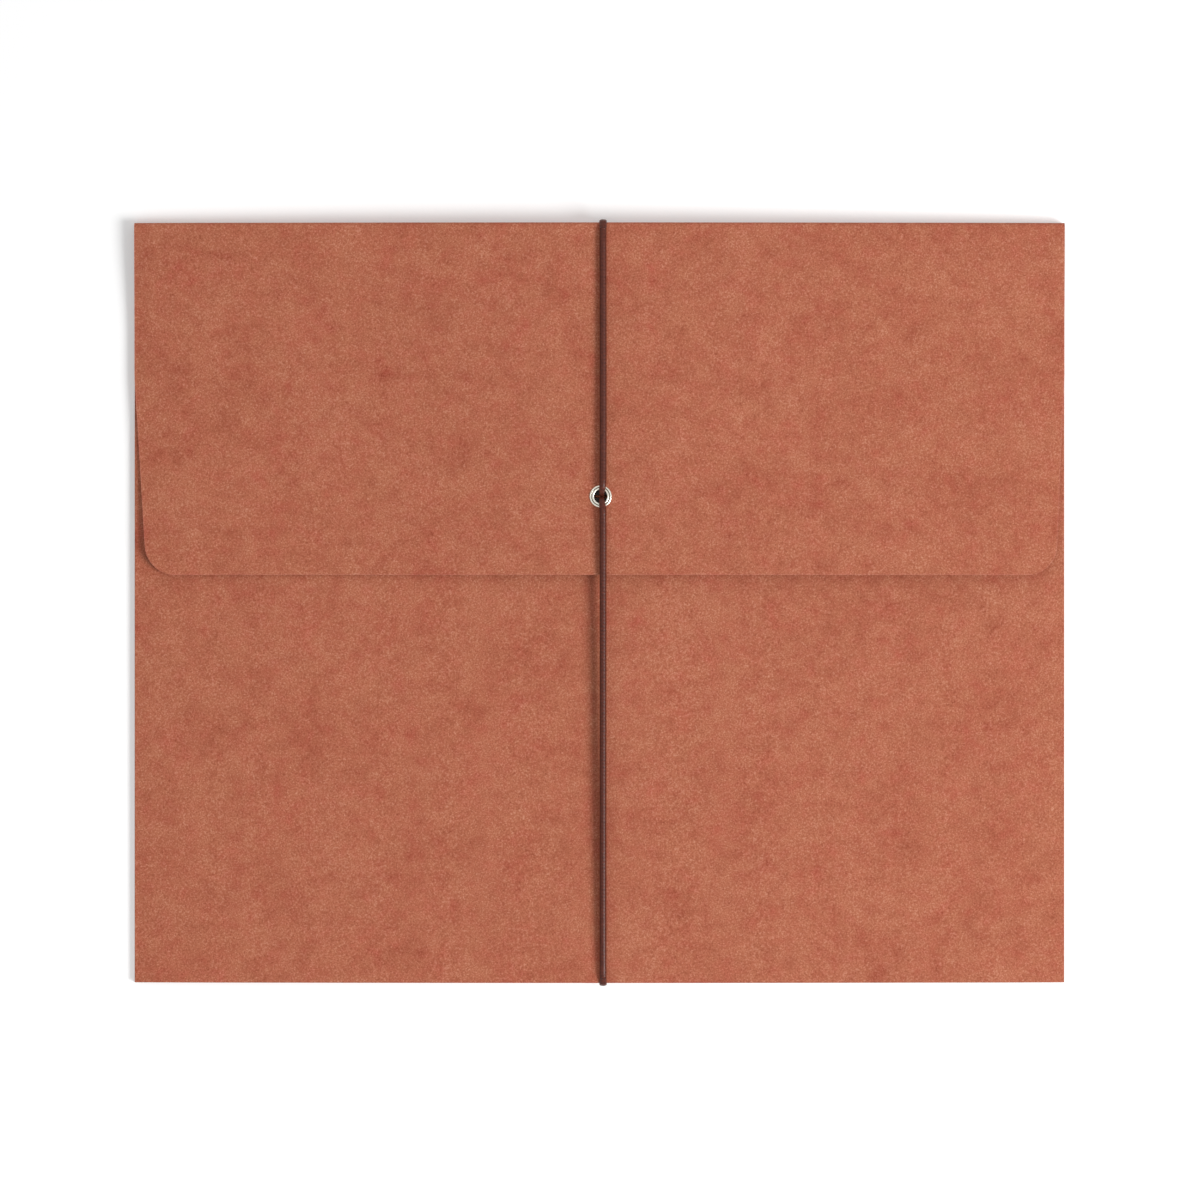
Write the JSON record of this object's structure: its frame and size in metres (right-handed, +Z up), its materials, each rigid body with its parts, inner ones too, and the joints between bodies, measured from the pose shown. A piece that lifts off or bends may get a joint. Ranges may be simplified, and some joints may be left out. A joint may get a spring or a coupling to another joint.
{
  "type": "expanding file wallet",
  "caption": "Flat fibre-board file wallet with a pleated gusset, a fold-over flap and an elastic cord loop held in an eyelet, shown closed and lying on its back.",
  "frame": {"origin": "under the middle of the closed wallet, on the surface that it lies on", "axes": "+X along the width, +Y towards the top fold, +Z up, out of the front panel and the flap"},
  "size_m": [0.311, 0.2592, 0.0122],
  "materials": {
    "board": "matt red-brown fibre board with a mottled, fibrous surface",
    "gusset": "matt red-brown tear-resistant gusset sheet",
    "nickel": "bright nickel plate",
    "steel": "brown-lacquered pressed steel strip",
    "elastic": "dark brown braided cover over a rubber core"
  },
  "bodies": {
    "back": {"back_panel": "board", "bottom_rear_flange": "gusset", "left_rear_flange": "gusset", "right_rear_flange": "gusset", "elastic_back_run": "elastic"},
    "spine": {"top_spine": "board"},
    "flap": {"flap_panel": "board", "eyelet": "nickel", "eyelet_washer": "nickel", "upper_barb": "steel", "lower_barb": "steel", "elastic_upper_run": "elastic", "elastic_lower_run": "elastic"},
    "bottom_rear": {"bottom_rear_leaf": "gusset"},
    "bottom_front": {"bottom_front_leaf": "gusset"},
    "front": {"front_panel": "board", "bottom_front_flange": "gusset", "left_front_flange": "gusset", "right_front_flange": "gusset"},
    "left_rear": {"left_rear_leaf": "gusset"},
    "left_front": {"left_front_leaf": "gusset"},
    "right_rear": {"right_rear_leaf": "gusset"},
    "right_front": {"right_front_leaf": "gusset"}
  },
  "joints": [
    {"name": "spine_fold", "type": "hinge", "parent": "back", "child": "spine", "pos_m": [0, 0.127, 0.00313], "axis": [-1, 0, 0], "range_deg": [0, 90]},
    {"name": "flap_fold", "type": "hinge", "parent": "spine", "child": "flap", "pos_m": [0, 0.127, 0.00823], "axis": [-1, 0, 0], "range_deg": [0, 90], "deforming": ["elastic_upper_run", "elastic_lower_run"]},
    {"name": "bottom_rear_fold", "type": "hinge", "parent": "back", "child": "bottom_rear", "pos_m": [0, -0.1262, 0.00373], "axis": [1, 0, 0], "range_deg": [0, 63]},
    {"name": "bottom_crease", "type": "hinge", "parent": "bottom_rear", "child": "bottom_front", "pos_m": [0, -0.1008, 0.00433], "axis": [-1, 0, 0], "range_deg": [0, 126]},
    {"name": "front_fold", "type": "hinge", "parent": "bottom_front", "child": "front", "pos_m": [0, -0.1262, 0.00493], "axis": [1, 0, 0], "range_deg": [0, 63]},
    {"name": "left_rear_fold", "type": "hinge", "parent": "back", "child": "left_rear", "pos_m": [-0.1547, 0, 0.00373], "axis": [0, -1, 0], "range_deg": [0, 63]},
    {"name": "left_crease", "type": "hinge", "parent": "left_rear", "child": "left_front", "pos_m": [-0.1293, 0, 0.00433], "axis": [0, 1, 0], "range_deg": [0, 126]},
    {"name": "right_rear_fold", "type": "hinge", "parent": "back", "child": "right_rear", "pos_m": [0.1547, 0, 0.00373], "axis": [0, 1, 0], "range_deg": [0, 63]},
    {"name": "right_crease", "type": "hinge", "parent": "right_rear", "child": "right_front", "pos_m": [0.1293, 0, 0.00433], "axis": [0, -1, 0], "range_deg": [0, 126]}
  ],
  "couplings": [
    {"joint": "spine_fold", "follows": "flap_fold", "ratio": 1},
    {"joint": "bottom_rear_fold", "follows": "flap_fold", "ratio": 0.7},
    {"joint": "bottom_crease", "follows": "flap_fold", "ratio": 1.4},
    {"joint": "front_fold", "follows": "flap_fold", "ratio": 0.7},
    {"joint": "left_rear_fold", "follows": "flap_fold", "ratio": 0.7},
    {"joint": "left_crease", "follows": "flap_fold", "ratio": 1.4},
    {"joint": "right_rear_fold", "follows": "flap_fold", "ratio": 0.7},
    {"joint": "right_crease", "follows": "flap_fold", "ratio": 1.4}
  ]
}
